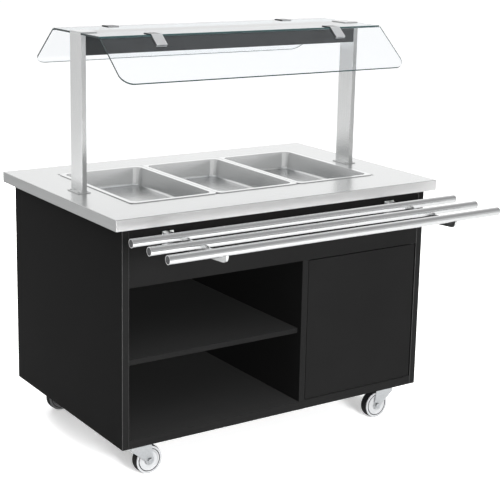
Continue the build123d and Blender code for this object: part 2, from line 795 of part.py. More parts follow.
def caster_fork(braked):
    """Pressed fork trailing towards +X, with its axle bolt; braked forks carry pedal ears."""
    inner = wheel_width / 2 + cheek_gap
    crown_top = caster_height - plate_thick - race_height - swivel_gap
    crown_low = crown_top - crown_thick
    side = Plane((0, -inner - cheek, 0), x_dir=(1, 0, 0), z_dir=(0, 1, 0))
    flip = -1
    boss = Pos(caster_trail, flip * wheel_r) * Circle(cheek_boss_r)
    lead = -fork_front
    outline = [(lead, crown_top), (lead, crown_low - fork_web_drop / 2)]
    outline += [(caster_trail - cheek_boss_r, wheel_r), (caster_trail + cheek_boss_r, wheel_r)]
    outline += [(fork_back, crown_low - crown_thick), (fork_back, crown_top)]
    face = make_face(Polyline(*[(x, flip * z) for x, z in outline], close=True)) + boss
    if braked:
        ear = [(0, crown_top), (fork_back, crown_top), (pedal_x + brake_ear_r, pedal_z)]
        ear += [(pedal_x, pedal_z - brake_ear_r), (caster_trail, wheel_r)]
        face += make_face(Polyline(*[(x, flip * z) for x, z in ear], close=True))
        face += Pos(pedal_x, flip * pedal_z) * Circle(brake_ear_r)
        face -= Pos(pedal_x, flip * pedal_z) * Circle(brake_pin_r + running_gap)
    cheeks = extrude(side * face, cheek)
    cheeks += Pos(0, 2 * inner + cheek, 0) * cheeks
    crown = rod((0, 0, crown_low), (0, 0, 1), crown_r, crown_thick)
    crown += block((lead, fork_back), span(0, 2 * inner), (crown_low, crown_top))
    crown &= rod((0, 0, crown_low), (0, 0, 1), hypot(fork_back, inner), crown_thick)
    web_low = crown_low - fork_web_drop / 2
    web = block((lead, lead + cheek), span(0, 2 * inner), (web_low, crown_top))
    fork = cheeks + crown + web
    fork -= rod((0, 0, crown_low), (0, 0, 1), kingpin_r + running_gap, crown_thick)
    fork -= rod((caster_trail, -inner - cheek, wheel_r), (0, 1, 0), axle_r, 2 * (inner + cheek))
    reach = inner + cheek
    axle = rod((caster_trail, -reach, wheel_r), (0, 1, 0), axle_r, 2 * reach)
    for end in (-1, 1):
        head = Plane((caster_trail, end * reach, wheel_r), x_dir=(1, 0, 0), z_dir=(0, end, 0))
        axle += extrude(head * RegularPolygon(axle_head_r, 6), axle_head)
    return fork, axle


def caster_wheel():
    """Light wheel body: hub, dished web and a grooved rim, turned about its axle."""
    half = wheel_width / 2
    rim_r = wheel_r - tyre_thick
    groove_out = wheel_groove_r + wheel_groove_width
    profile = Polyline(
        (axle_r + running_gap, 0), (axle_r + running_gap, half), (hub_r, half),
        (hub_r + wheel_dish_depth, half - wheel_dish_depth), (wheel_dish_r, half - wheel_dish_depth),
        (wheel_dish_r + wheel_dish_depth, half), (wheel_groove_r, half),
        (wheel_groove_r, half - wheel_groove_depth), (groove_out, half - wheel_groove_depth),
        (groove_out, half), (flange_r, half), (flange_r, half - flange), (rim_r, half - flange), (rim_r, 0),
        close=True,
    )
    half_wheel = revolve(make_face(profile), Axis.Y)
    wheel = half_wheel + mirror(half_wheel, about=Plane.XZ)
    return Pos(caster_trail, 0, wheel_r) * wheel


def caster_tyre():
    """Rubber tread band between the flanges of the wheel body."""
    half = wheel_width / 2 - flange
    band = make_face(
        Polyline(
            (wheel_r - tyre_thick, -half), (wheel_r, -half), (wheel_r, half), (wheel_r - tyre_thick, half),
            close=True,
        )
    )
    shoulders = band.vertices().group_by(Axis.X)[-1]
    band = fillet(shoulders, tyre_shoulder_r)
    return Pos(caster_trail, 0, wheel_r) * revolve(band, Axis.Y)


def brake_pedal():
    """Foot pedal on a cross pin between the ears of a braked fork."""
    inner = wheel_width / 2 + cheek_gap
    pin = rod((pedal_x, -inner - cheek, pedal_z), (0, 1, 0), brake_pin_r, 2 * (inner + cheek))
    hub = rod((pedal_x, -inner + swivel_gap, pedal_z), (0, 1, 0), brake_hub_r, 2 * (inner - swivel_gap))
    start = Vector(pedal_x, 0, pedal_z + brake_hub_r)
    end = start + Vector(pedal_length, 0, -pedal_drop)
    drop = Vector(0, 0, -pedal_thick)
    outline = Polyline(start, end, end + drop, start + drop, close=True)
    tread_half = inner - swivel_gap
    tread = extrude(make_face(outline), tread_half, dir=(0, 1, 0), both=True)
    ear_clear = pedal_x + brake_ear_r + 2 * swivel_gap
    wide = extrude(make_face(outline), pedal_width / 2, dir=(0, 1, 0), both=True)
    wide &= block((ear_clear, pedal_x + 2 * pedal_length), span(0, pedal_width), (0, caster_height))
    return pin + hub + tread + wide


def make_casters():
    """Four swivel casters, the two on the operator side with brakes."""
    plates = []
    for corner, right, back in (("fl", 0, 0), ("fr", 1, 0), ("rl", 0, 1), ("rr", 1, 1)):
        x = (cab_x - caster_inset_x) * (1 if right else -1)
        y = cab_back - caster_inset_y if back else cab_front + caster_inset_y
        place = Pos(x, y, 0) * Rot(0, 0, 180 if right else 0)
        plates.append(place * caster_plate())
        fork, axle = caster_fork(bool(back))
        save(f"caster_fork_{corner}", place * fork, place * axle)
        save(f"caster_wheel_{corner}", place * caster_wheel())
        save(f"caster_tyre_{corner}", place * caster_tyre())
        if back:
            save(f"caster_brake_{corner}", place * brake_pedal())
    save("caster_plates", *plates)


os.makedirs("parts", exist_ok=True)
make_carcass()
make_door()
make_worktop()
make_pans()
make_heating()
make_drain()
make_controls()
make_posts()
make_beam()
make_canopy()
make_tray_slide()
make_casters()
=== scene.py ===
"""Studio scene of the heated buffet trolley: finishes, small hardware, light and camera."""
import json
import logging
import math
from dataclasses import dataclass
from enum import Enum
from typing import Any, Callable, Iterable, Sequence

import bmesh
import bpy
from mathutils import Matrix, Vector
from mathutils.bvhtree import BVHTree


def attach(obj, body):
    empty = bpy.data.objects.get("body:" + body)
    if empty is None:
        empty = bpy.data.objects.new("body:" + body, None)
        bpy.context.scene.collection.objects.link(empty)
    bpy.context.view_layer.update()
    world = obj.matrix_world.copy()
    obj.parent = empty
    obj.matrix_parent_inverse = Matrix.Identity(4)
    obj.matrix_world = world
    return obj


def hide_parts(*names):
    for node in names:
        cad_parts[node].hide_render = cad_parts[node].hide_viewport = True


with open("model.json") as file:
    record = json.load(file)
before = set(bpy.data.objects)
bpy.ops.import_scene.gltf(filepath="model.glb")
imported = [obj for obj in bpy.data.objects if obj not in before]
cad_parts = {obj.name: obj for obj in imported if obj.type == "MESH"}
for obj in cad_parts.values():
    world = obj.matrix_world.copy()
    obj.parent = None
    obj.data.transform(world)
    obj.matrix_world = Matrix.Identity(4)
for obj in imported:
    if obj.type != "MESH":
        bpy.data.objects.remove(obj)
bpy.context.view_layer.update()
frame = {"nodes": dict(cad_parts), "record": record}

log = logging.getLogger("buffet_trolley")
Triple = tuple[float, float, float]
Tree = bpy.types.NodeTree
Socket = bpy.types.NodeSocket
Face = bmesh.types.BMFace

MM = 0.001
ROOT = "trolley"
CORNERS = ("fl", "fr", "rl", "rr")
ENDS = (-1, 1)
WELD_MM = 0.002
FLAT_DEG = 0.5
SHARP_DEG = 32.0
ROUND_FROM_DEG = 40.0
ROUND_STEPS = 2
# Share of a face's normal along an axis, past which the face counts as looking that way.
SQUARE_ON = 0.9
CLIP_SIDE = 0.7
CLIP_LEVEL = 0.95
# Height of a capital letter as a share of the font's size.
CAPITAL = 0.7
# Distance to the operator, from where printed faces are looked for.
OPERATOR_M = 1.0


class Brush(Enum):
    """Direction in which a steel face was brushed."""

    ALONG_X = (1.0, 0.0, 0.0)
    ALONG_Y = (0.0, 1.0, 0.0)
    ALONG_Z = (0.0, 0.0, 1.0)


class Edge(Enum):
    """How far a piece's sharp edges are rounded off, in millimetres."""

    KEEP = 0.0
    FINE = 0.3
    SOFT = 0.6
    FULL = 1.0


class Toward(Enum):
    """Way that a screw head looks."""

    FRONT = (0.0, -1.0, 0.0)
    BACK = (0.0, 1.0, 0.0)
    UP = (0.0, 0.0, 1.0)
    DOWN = (0.0, 0.0, -1.0)


class Head(Enum):
    """Head radius, head height and socket radius of a screw, in millimetres."""

    PLATE_SCREW = (3.6, 2.0, 1.8)
    FOOT_SCREW = (4.0, 2.0, 2.0)
    PANEL_SCREW = (4.5, 2.4, 2.0)
    BRACKET_BOLT = (4.6, 4.0, 2.4)
    CASTER_BOLT = (6.2, 4.0, 3.2)


def linear(code: str) -> tuple[float, float, float, float]:
    """Turn an sRGB hex colour into linear RGBA.

    Args:
        code: Colour such as "#c8c9ca".

    Returns:
        Linear red, green, blue and an alpha of one.
    """
    parts = [int(code[i:i + 2], 16) / 255 for i in (1, 3, 5)]
    red, green, blue = [v / 12.92 if v <= 0.04045 else ((v + 0.055) / 1.055) ** 2.4 for v in parts]
    return red, green, blue, 1.0


def add_node(tree: Tree, kind: str, links: dict[Any, Any] | None = None, **settings: Any) -> bpy.types.Node:
    """Add one node, with its settings, input values and links.

    Args:
        tree: Tree that gets the node.
        kind: Node type name.
        links: Input name or index to an output socket, which is linked, or to a plain value.
        settings: Attributes set on the node itself.

    Returns:
        The new node.
    """
    node = tree.nodes.new(kind)
    for name, value in settings.items():
        setattr(node, name, value)
    for name, value in (links or {}).items():
        if isinstance(value, Socket):
            tree.links.new(value, node.inputs[name])
        else:
            node.inputs[name].default_value = value
    return node


def seen_directly(tree: Tree) -> Socket:
    """Tell where a surface is seen straight or through glass.

    Args:
        tree: Tree that gets the nodes.

    Returns:
        Socket that is one there and zero elsewhere.
    """
    path = add_node(tree, "ShaderNodeLightPath").outputs
    either = add_node(tree, "ShaderNodeMath", {
        0: path["Is Camera Ray"], 1: path["Is Transmission Ray"]}, operation="MAXIMUM")
    return either.outputs[0]


@dataclass(frozen=True)
class Finish:
    """Plain dielectric finish; other finishes add their own pattern to it."""

    name: str
    colour: str
    roughness: float
    metallic: float = 0.0
    specular: float = 0.5
    slot: str = ""

    def material(self) -> bpy.types.Material:
        """Make the finish's material on its first use.

        Returns:
            The material.
        """
        known = bpy.data.materials.get(self.name)
        if known is not None:
            return known
        made = bpy.data.materials.new(self.name)
        made.use_nodes = True
        tree = made.node_tree
        shader = tree.nodes["Principled BSDF"]
        shader.inputs["Base Color"].default_value = linear(self.colour)
        shader.inputs["Roughness"].default_value = self.roughness
        shader.inputs["Metallic"].default_value = self.metallic
        if not self.metallic:
            shader.inputs["Specular IOR Level"].default_value = self.specular
        self.pattern(tree, shader)
        return made

    def pattern(self, tree: Tree, shader: bpy.types.Node) -> None:
        """Add the finish's surface pattern; a plain finish has none."""


@dataclass(frozen=True)
class Textured(Finish):
    """Finish with an uneven skin, whose pattern shows in colour, gloss and relief."""

    spread: float = 0.08
    detail: float = 2.0
    grit: float = 0.5
    depth_mm: float = 0.05
    relief: float = 0.2

    def uneven(self, tree: Tree, repeats: Sequence[float]) -> Socket:
        """Draw an uneven pattern in the piece's own coordinates.

        Args:
            tree: Material's tree.
            repeats: Pattern repeats per metre along X, Y and Z.

        Returns:
            Socket of the pattern, from zero to one.
        """
        where = add_node(tree, "ShaderNodeTexCoord").outputs["Object"]
        scaled = add_node(tree, "ShaderNodeMapping", {"Vector": where, "Scale": tuple(repeats)})
        return add_node(tree, "ShaderNodeTexNoise", {
            "Vector": scaled.outputs["Vector"], "Scale": 1.0, "Detail": self.detail,
            "Roughness": self.grit}).outputs["Fac"]

    def show(self, tree: Tree, shader: bpy.types.Node, tone: Socket, height: Socket, low: str,
             high: str) -> None:
        """Let one pattern drive colour and roughness, and press one into the surface.

        Args:
            tree: Material's tree.
            shader: Its surface shader.
            tone: Pattern of colour and roughness.
            height: Pattern of the relief.
            low: Colour where the tone is zero.
            high: Colour where it is one.
        """
        colour = add_node(tree, "ShaderNodeMix", {
            "Factor": tone, 6: linear(low), 7: linear(high)}, data_type="RGBA")
        half = self.spread / 2
        rough = add_node(tree, "ShaderNodeMapRange", {
            "Value": tone, "To Min": self.roughness - half, "To Max": self.roughness + half})
        bump = add_node(tree, "ShaderNodeBump", {
            "Height": height, "Strength": self.relief, "Distance": self.depth_mm * MM})
        tree.links.new(colour.outputs[2], shader.inputs["Base Color"])
        tree.links.new(rough.outputs["Result"], shader.inputs["Roughness"])
        tree.links.new(bump.outputs["Normal"], shader.inputs["Normal"])


@dataclass(frozen=True)
class BrushedSteel(Textured):
    """Satin stainless sheet: long fine scratches in one direction that blur what it mirrors."""

    metallic: float = 1.0
    slot: str = "brushed_stainless"
    detail: float = 3.0
    grit: float = 0.6
    depth_mm: float = 0.02
    brush: Brush = Brush.ALONG_X
    streak_mm: float = 140.0
    width_mm: float = 1.6
    dark: str = "#c0c1c1"
    stretch: float = 0.6
    quarter_turn: float = 0.25

    def pattern(self, tree: Tree, shader: bpy.types.Node) -> None:
        """Add scratches, drawn several times as wide as real ones so that they show.

        Args:
            tree: Material's tree.
            shader: Its surface shader.
        """
        long, short = 1 / (self.streak_mm * MM), 1 / (self.width_mm * MM)
        streaks = self.uneven(tree, [long if along else short for along in self.brush.value])
        self.show(tree, shader, streaks, streaks, self.dark, self.colour)
        tangent = add_node(tree, "ShaderNodeCombineXYZ", dict(enumerate(self.brush.value)))
        tree.links.new(tangent.outputs["Vector"], shader.inputs["Tangent"])
        shader.inputs["Anisotropic"].default_value = self.stretch
        shader.inputs["Anisotropic Rotation"].default_value = self.quarter_turn


@dataclass(frozen=True)
class Laminate(Textured):
    """Matt laminated board: dull black with a faint pebbled press texture."""

    specular: float = 0.02
    slot: str = "black_laminate"
    lighter: str = "#1b1b1b"
    pebble_mm: float = 1.4
    drifts_per_m: float = 3.0

    def pattern(self, tree: Tree, shader: bpy.types.Node) -> None:
        """Add the press pebble, drawn coarser than a real one so that it shows, and a slow drift of tone.

        Args:
            tree: Material's tree.
            shader: Its surface shader.
        """
        pebble, drift = (self.uneven(tree, [repeats] * 3)
                         for repeats in (1 / (self.pebble_mm * MM), self.drifts_per_m))
        self.show(tree, shader, drift, pebble, self.colour, self.lighter)


@dataclass(frozen=True)
class Grained(Textured):
    """Powder coat, moulded plastic, cast or plated metal: an even fine grain."""

    spread: float = 0.1
    depth_mm: float = 0.03
    relief: float = 0.25
    lighter: str = "#ffffff"
    grain_mm: float = 0.8

    def pattern(self, tree: Tree, shader: bpy.types.Node) -> None:
        """Add the grain, which on plastic and coating is drawn coarser than real so that it shows.

        Args:
            tree: Material's tree.
            shader: Its surface shader.
        """
        grain = self.uneven(tree, [1 / (self.grain_mm * MM)] * 3)
        self.show(tree, shader, grain, grain, self.colour, self.lighter)


@dataclass(frozen=True)
class ClearGlass(Finish):
    """Toughened float glass: clear through its faces, blue-grey where one looks along the pane."""

    slot: str = "clear_glass"
    index: float = 1.36
    sheen: str = "#c4c8cc"
    grazing: str = "#3c5560"
    grazing_from: tuple[float, float] = (0.78, 0.92)
    shadow: str = "#f4f6f6"

    def pattern(self, tree: Tree, shader: bpy.types.Node) -> None:
        """Let light through, and let the lamps shine through the pane without a dark shadow.

        Args:
            tree: Material's tree.
            shader: Its surface shader.
        """
        shader.inputs["Transmission Weight"].default_value = 1.0
        shader.inputs["IOR"].default_value = self.index
        shader.inputs["Specular Tint"].default_value = linear(self.sheen)
        # A blend of one half makes Facing one less the cosine of the viewing angle.
        slant = add_node(tree, "ShaderNodeLayerWeight", {"Blend": 0.5}).outputs["Facing"]
        first, last = self.grazing_from
        along = add_node(tree, "ShaderNodeMapRange", {"Value": slant, "From Min": first, "From Max": last})
        body = add_node(tree, "ShaderNodeMix", {
            "Factor": along.outputs["Result"], 6: linear(self.colour), 7: linear(self.grazing)},
            data_type="RGBA")
        tree.links.new(body.outputs[2], shader.inputs["Base Color"])
        path = add_node(tree, "ShaderNodeLightPath")
        clear = add_node(tree, "ShaderNodeBsdfTransparent", {"Color": linear(self.shadow)})
        mix = add_node(tree, "ShaderNodeMixShader", {
            0: path.outputs["Is Shadow Ray"], 1: shader.outputs["BSDF"], 2: clear.outputs["BSDF"]})
        tree.links.new(mix.outputs["Shader"], tree.nodes["Material Output"].inputs["Surface"])


@dataclass(frozen=True)
class LitPaint(Finish):
    """Matt paint of the studio floor, lifted by the light that a white room throws back."""

    specular: float = 0.0
    lift: float = 0.5
    mirrored: float = 0.16
    mirrored_tone: float = 0.75

    def pattern(self, tree: Tree, shader: bpy.types.Node) -> None:
        """Lift the floor where it is seen straight or through glass, and less where steel mirrors it.

        Args:
            tree: Material's tree.
            shader: Its surface shader.
        """
        straight = add_node(tree, "ShaderNodeMath", {
            0: seen_directly(tree), 1: self.lift}, operation="MULTIPLY")
        glossy = add_node(tree, "ShaderNodeLightPath").outputs["Is Glossy Ray"]
        both = add_node(tree, "ShaderNodeMath", {
            0: glossy, 1: self.mirrored, 2: straight.outputs[0]}, operation="MULTIPLY_ADD")
        tone = add_node(tree, "ShaderNodeMapRange", {
            "Value": glossy, "To Min": linear(self.colour)[0], "To Max": self.mirrored_tone})
        tree.links.new(tone.outputs["Result"], shader.inputs["Base Color"])
        shader.inputs["Emission Color"].default_value = linear(self.colour)
        tree.links.new(both.outputs[0], shader.inputs["Emission Strength"])


# Worktop sheet brushed lengthwise: a pale satin in which the posts show as soft streaks.
STEEL_X = BrushedSteel("stainless_brushed_lengthwise", "#c8c9c9", 0.26, stretch=0.0)
# Small sheet parts brushed crosswise: a touch lighter and duller than the worktop.
STEEL_Y = BrushedSteel("stainless_brushed_crosswise", "#d3d4d4", 0.30, brush=Brush.ALONG_Y)
# Posts brushed upright: bright, with light drawn out up and down.
STEEL_Z = BrushedSteel("stainless_brushed_upright", "#f6f7f7", 0.26, brush=Brush.ALONG_Z, dark="#e4e5e5")
# Worktop's folded ends: painted shade, a greyer copy of the top's steel, so the fold stands off from the top.
STEEL_FOLD_SHADED = BrushedSteel("stainless_folded_edge_painted_shade", "#a8a9a9", 0.34, brush=Brush.ALONG_Y, dark="#969797",
                          stretch=0.0)
# Worktop's folded front and back: dull, so the tubes before it leave no outline, and painted light, a lighter
# copy of the top's steel.
STEEL_APRON_LIT = BrushedSteel("stainless_folded_apron_painted_light", "#e0e0e0", 0.5, dark="#d5d5d5", stretch=0.0)
# Posts' narrow sides: painted shade, a step darker than their broad ones.
STEEL_EDGE_SHADED = BrushedSteel("stainless_brushed_narrow_painted_shade", "#c4c5c5", 0.3, brush=Brush.ALONG_Z, dark="#b2b3b3")
# Control plate, matted for engraving: grey enough for black print to read.
PLATE_STEEL = BrushedSteel("stainless_engraved_plate", "#a8a9a9", 0.36, dark="#9b9c9c")
# Tubes ground along their length: crisp bands of light and grey.
TUBE_STEEL = BrushedSteel("stainless_tube_ground", "#c8c9ca", 0.2, width_mm=2.2, stretch=0.0)
# Deep-drawn pans: short soft marks and a silky gloss that pools in the corners.
PAN_STEEL = BrushedSteel("stainless_deep_drawn", "#dadbdb", 0.24, width_mm=3.0, streak_mm=40.0,
                         dark="#c8c9c9", stretch=0.3, slot="pan_steel")
# Clip tabs flat on the glass: painted shade, a dark grey satin beside the bright straps.
CLIP_TAB_SHADED = BrushedSteel("stainless_clip_tab_painted_shade", "#6f7072", 0.32, width_mm=1.2, dark="#5c5d5f",
                        slot="polished_steel")
# Clip straps bent over the wing: a painted highlight, satin white where they turn to the light.
CLIP_STRAP_LIT = BrushedSteel("stainless_clip_satin_painted_highlight", "#f8f9fa", 0.55, brush=Brush.ALONG_Y, width_mm=1.2,
                          dark="#d0d2d4", stretch=0.0, slot="polished_steel")
# Sheared sides of the clips: painted shade, a rough dark line along the bright strap.
CLIP_EDGE_SHADE = Grained("stainless_clip_side_painted_shade", "#2c2d2e", 0.5, metallic=1.0, lighter="#47494a",
                  slot="polished_steel")
# Pressed laminate on the outer boards: a flat deep black without a mirror image.
LAMINATE = Laminate("board_black_laminate", "#151515", 0.55)
# Melamine paper on the inner boards: painted light, a shade greyer than the outer boards, so the shaded bays
# keep their depth.
MELAMINE_LIT = Laminate("board_black_melamine_painted_light", "#262626", 0.55, lighter="#2d2d2d")
# Glued edge band: finer than the board, with a faint gloss.
EDGE_BAND = Laminate("abs_black_edge_band", "#151515", 0.5, specular=0.04, pebble_mm=0.7)
# Radius of the edge band: a painted highlight, a thin pale line down each upright corner.
BAND_HIGHLIGHT = Grained("abs_black_edge_painted_highlight", "#2c2c2c", 0.32, lighter="#343434", slot="black_laminate")
# Bare chipboard: coarse straw-coloured flakes.
CORE = Grained("board_bare_chip", "#8d7350", 0.8, lighter="#c4a77e", grain_mm=3.0, slot="core_board")
# Zinc plate: cool pale grey with broad soft clouds of tone.
ZINC = Grained("steel_zinc_plated", "#a4a7a9", 0.32, metallic=1.0, lighter="#bfc1c3", grain_mm=6.0,
               slot="zinc_steel")
# Black coated steel: even satin black.
BLACK_STEEL = Grained("steel_black_coated", "#151516", 0.5, specular=0.2, lighter="#1f1f20",
                      slot="black_steel")
# Dark powder coat: charcoal with a dry, faintly rough skin.
POWDER = Grained("steel_dark_powder_coat", "#1d1e1f", 0.5, specular=0.16, lighter="#252627", slot="beam_grey")
# Moulded polypropylene wheels: light grey with a soft sheen.
WHEEL = Grained("polypropylene_light_grey", "#9a9b9d", 0.4, lighter="#acadae", slot="wheel_grey")
# Groove round the wheels: the same plastic with painted shade, a thin dark ring.
GROOVE = Grained("polypropylene_shaded_groove", "#2b2c2d", 0.7, specular=0.1, lighter="#3a3b3c",
                 slot="wheel_grey")
# Rubber tread: dull black that swallows highlights.
RUBBER = Grained("rubber_black_tread", "#0e0e0f", 0.7, specular=0.2, lighter="#1c1c1d", depth_mm=0.08,
                 slot="black_rubber")
# Moulded tube plugs: dark grey and waxy.
PLUG = Grained("polyethylene_dark_grey", "#3a3b3d", 0.5, lighter="#4b4c4e", slot="plug_grey")
# Moulded ABS: satin black that catches a narrow highlight.
BLACK_ABS = Grained("abs_satin_black", "#0f0f10", 0.38, specular=0.3, lighter="#1b1b1c", slot="black_plastic")
# Opal acrylic: milky warm white.
OPAL = Grained("acrylic_opal", "#dcdad2", 0.45, lighter="#eceae4", slot="opal_diffuser")
# Frosted lamp glass: warm white, smoother than the diffuser.
LAMP = Grained("lamp_frosted_glass", "#e6e1d6", 0.3, lighter="#f4f0e8", slot="lamp_glass")
# Machined brass: warm yellow with a soft turned gloss.
BRASS = Grained("brass_machined", "#a4843f", 0.32, metallic=1.0, lighter="#c9a85e", grain_mm=2.0,
                slot="valve_brass")
# Dipped vinyl: rubbery deep red.
LEVER = Grained("vinyl_dipped_red", "#8a1a15", 0.4, lighter="#a82c25", slot="red_lever")
# Heater sheath: brown-grey patches where heat has tinted the steel.
SHEATH = Grained("steel_heat_tinted", "#5b5650", 0.42, metallic=1.0, lighter="#8d877d", grain_mm=12.0,
                 slot="heater_sheath")
# Amber acrylic: glossy orange lens.
AMBER = Grained("acrylic_amber", "#d2720c", 0.12, lighter="#f0a030", slot="amber_lens")
# Float glass, toughened: almost unseen but for its sheen.
GLASS = ClearGlass("glass_clear_toughened", "#f2f4f6", 0.0)
# Ground edge of the glass: a dark green line round each pane.
GLASS_EDGE = Finish("glass_ground_edge", "#2a3d3e", 0.18, slot="clear_glass")
# Printing inks: flat white on plastic and flat black on steel.
PRINT = Finish("ink_white_printed", "#e4e4e2", 0.6, slot="black_plastic")
DARK_PRINT = Finish("ink_black_printed", "#161616", 0.6, slot="brushed_stainless")

Looks = dict[str, tuple[Finish, Edge]]


def finish_piece(name: str, mesh: bpy.types.Mesh, finishes: Sequence[Finish], body: str,
                 nodes: Iterable[str] = ()) -> bpy.types.Object:
    """Make a mesh a piece of the trolley.

    Args:
        name: Piece name.
        mesh: Mesh in the trolley's frame.
        finishes: Finish of each material slot.
        body: Body that the piece moves with.
        nodes: Construction nodes that the piece stands for.

    Returns:
        The new object.
    """
    while len(mesh.materials) < len(finishes):
        mesh.materials.append(None)
    for index, finish in enumerate(finishes):
        mesh.materials[index] = finish.material()
    piece = bpy.data.objects.new(name, mesh)
    bpy.context.scene.collection.objects.link(piece)
    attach(piece, body)
    if nodes:
        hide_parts(*nodes)
    log.info("%s rides on %s", name, body)
    return piece


def evaluated_mesh(source: bpy.types.Object) -> bpy.types.Mesh:
    """Take the mesh of an object with its modifiers applied, and remove the object.

    Args:
        source: Working object.

    Returns:
        A plain mesh.
    """
    graph = bpy.context.evaluated_depsgraph_get()
    mesh = bpy.data.meshes.new_from_object(source.evaluated_get(graph))
    bpy.data.objects.remove(source)
    return mesh


def linked(name: str, data: bpy.types.ID) -> bpy.types.Object:
    """Link a new object to the scene.

    Args:
        name: Object name.
        data: Mesh, curve, light or camera that it shows.

    Returns:
        The object.
    """
    shown = bpy.data.objects.new(name, data)
    bpy.context.scene.collection.objects.link(shown)
    return shown


def smooth(mesh: bpy.types.Mesh) -> None:
    """Shade a mesh smooth except across sharp edges."""
    mesh.polygons.foreach_set("use_smooth", [True] * len(mesh.polygons))
    mesh.set_sharp_from_angle(angle=math.radians(SHARP_DEG))


def body_of_node(node: str) -> str:
    """Return the body that holds a construction node."""
    bodies = frame["record"]["behaviour"]["bodies"]
    return next(body for body, members in bodies.items() if node in members)


def merged_shape(node: str) -> bmesh.types.BMesh:
    """Copy a construction node's mesh and merge its doubled points and flat facets.

    Args:
        node: Construction node.

    Returns:
        The copy, to be edited and freed.
    """
    shape = bmesh.new()
    shape.from_mesh(frame["nodes"][node].data)
    bmesh.ops.remove_doubles(shape, verts=shape.verts, dist=WELD_MM * MM)
    bmesh.ops.dissolve_limit(shape, angle_limit=math.radians(FLAT_DEG), verts=shape.verts, edges=shape.edges)
    return shape


def mesh_of(name: str, shape: bmesh.types.BMesh) -> bpy.types.Mesh:
    """Turn an edited shape into a mesh and free it.

    Args:
        name: Mesh name.
        shape: Shape, which is freed.

    Returns:
        The mesh.
    """
    mesh = bpy.data.meshes.new(name)
    shape.to_mesh(mesh)
    shape.free()
    return mesh


def settled(name: str, shape: bmesh.types.BMesh, edge: Edge) -> bpy.types.Mesh:
    """Turn a shape into a mesh with rounded edges, whose large flat faces shade flat.

    Args:
        name: Mesh name.
        shape: Shape, which is freed.
        edge: How far its sharp edges are rounded.

    Returns:
        The finished mesh.
    """
    mesh = mesh_of(name, shape)
    if edge is not Edge.KEEP:
        draft = linked(f"{name}_edges", mesh)
        bevel = draft.modifiers.new("edges", "BEVEL")
        bevel.width = edge.value * MM
        bevel.segments = ROUND_STEPS
        bevel.limit_method = "ANGLE"
        bevel.angle_limit = math.radians(ROUND_FROM_DEG)
        bevel.use_clamp_overlap = False
        mesh = evaluated_mesh(draft)
    smooth(mesh)
    draft = linked(f"{name}_shading", mesh)
    draft.modifiers.new("shading", "WEIGHTED_NORMAL").keep_sharp = True
    return evaluated_mesh(draft)


def facing(face: Face) -> int:
    """Return one for a face that looks sideways, two for one that looks to the front or back, else zero."""
    return 1 if abs(face.normal.x) > SQUARE_ON else 2 if abs(face.normal.y) > SQUARE_ON else 0


def clip_part(face: Face) -> int:
    """Sort the faces of a bent clip.

    Args:
        face: Face to sort.

    Returns:
        One for its sheared side and zero for its level tab, both in painted shade, and two for its bent
        strap, with a painted highlight.
    """
    if abs(face.normal.x) > CLIP_SIDE:
        return 1
    return 0 if abs(face.normal.z) > CLIP_LEVEL else 2


def dress(node: str, finishes: Sequence[Finish], edge: Edge = Edge.KEEP,
          choose: Callable[[Face], int] = lambda face: 0) -> bpy.types.Object:
    """Copy a construction node, round its sharp edges and dress it.

    Args:
        node: Node that the piece stands for.
        finishes: Finishes of the piece.
        edge: How far its sharp edges are rounded.
        choose: Which of the finishes a face gets.

    Returns:
        The dressed piece.
    """
    shape = merged_shape(node)
    for face in shape.faces:
        face.material_index = choose(face)
    mesh = settled(f"{node}_dressed", shape, edge)
    return finish_piece(f"{node}_dressed", mesh, finishes, body_of_node(node), [node])


def new_tree(name: str, inputs: dict[str, str]) -> Tree:
    """Start a geometry tree with named inputs and one geometry output.

    Args:
        name: Tree name.
        inputs: Kind of value of each input name, such as "Float".

    Returns:
        The tree, without nodes.
    """
    tree = bpy.data.node_groups.new(name, "GeometryNodeTree")
    for title, kind in inputs.items():
        tree.interface.new_socket(title, in_out="INPUT", socket_type=f"NodeSocket{kind}")
    tree.interface.new_socket("Pieces", in_out="OUTPUT", socket_type="NodeSocketGeometry")
    return tree


def close_tree(tree: Tree, instances: Socket, finish: Socket) -> None:
    """End a geometry tree: make its instances real, set their material and put them out.

    Args:
        tree: Tree to end.
        instances: Instances that it lays out.
        finish: Their material.
    """
    real = add_node(tree, "GeometryNodeRealizeInstances", {"Geometry": instances})
    dressed = add_node(tree, "GeometryNodeSetMaterial", {
        "Geometry": real.outputs["Geometry"], "Material": finish})
    add_node(tree, "NodeGroupOutput", {"Pieces": dressed.outputs["Geometry"]})


def grown(name: str, seed: bpy.types.Mesh, tree: Tree, values: dict[str, Any]) -> bpy.types.Mesh:
    """Run a geometry tree on a mesh.

    Args:
        name: Name of the working object.
        seed: Mesh that the tree starts from.
        tree: Geometry tree.
        values: Value of each named input.

    Returns:
        What the tree makes, as a plain mesh.
    """
    draft = linked(f"{name}_draft", seed)
    modifier = draft.modifiers.new(name, "NODES")
    modifier.node_group = tree
    for item in tree.interface.items_tree:
        if item.in_out == "INPUT" and item.name in values:
            modifier[item.identifier] = values[item.name]
    return evaluated_mesh(draft)


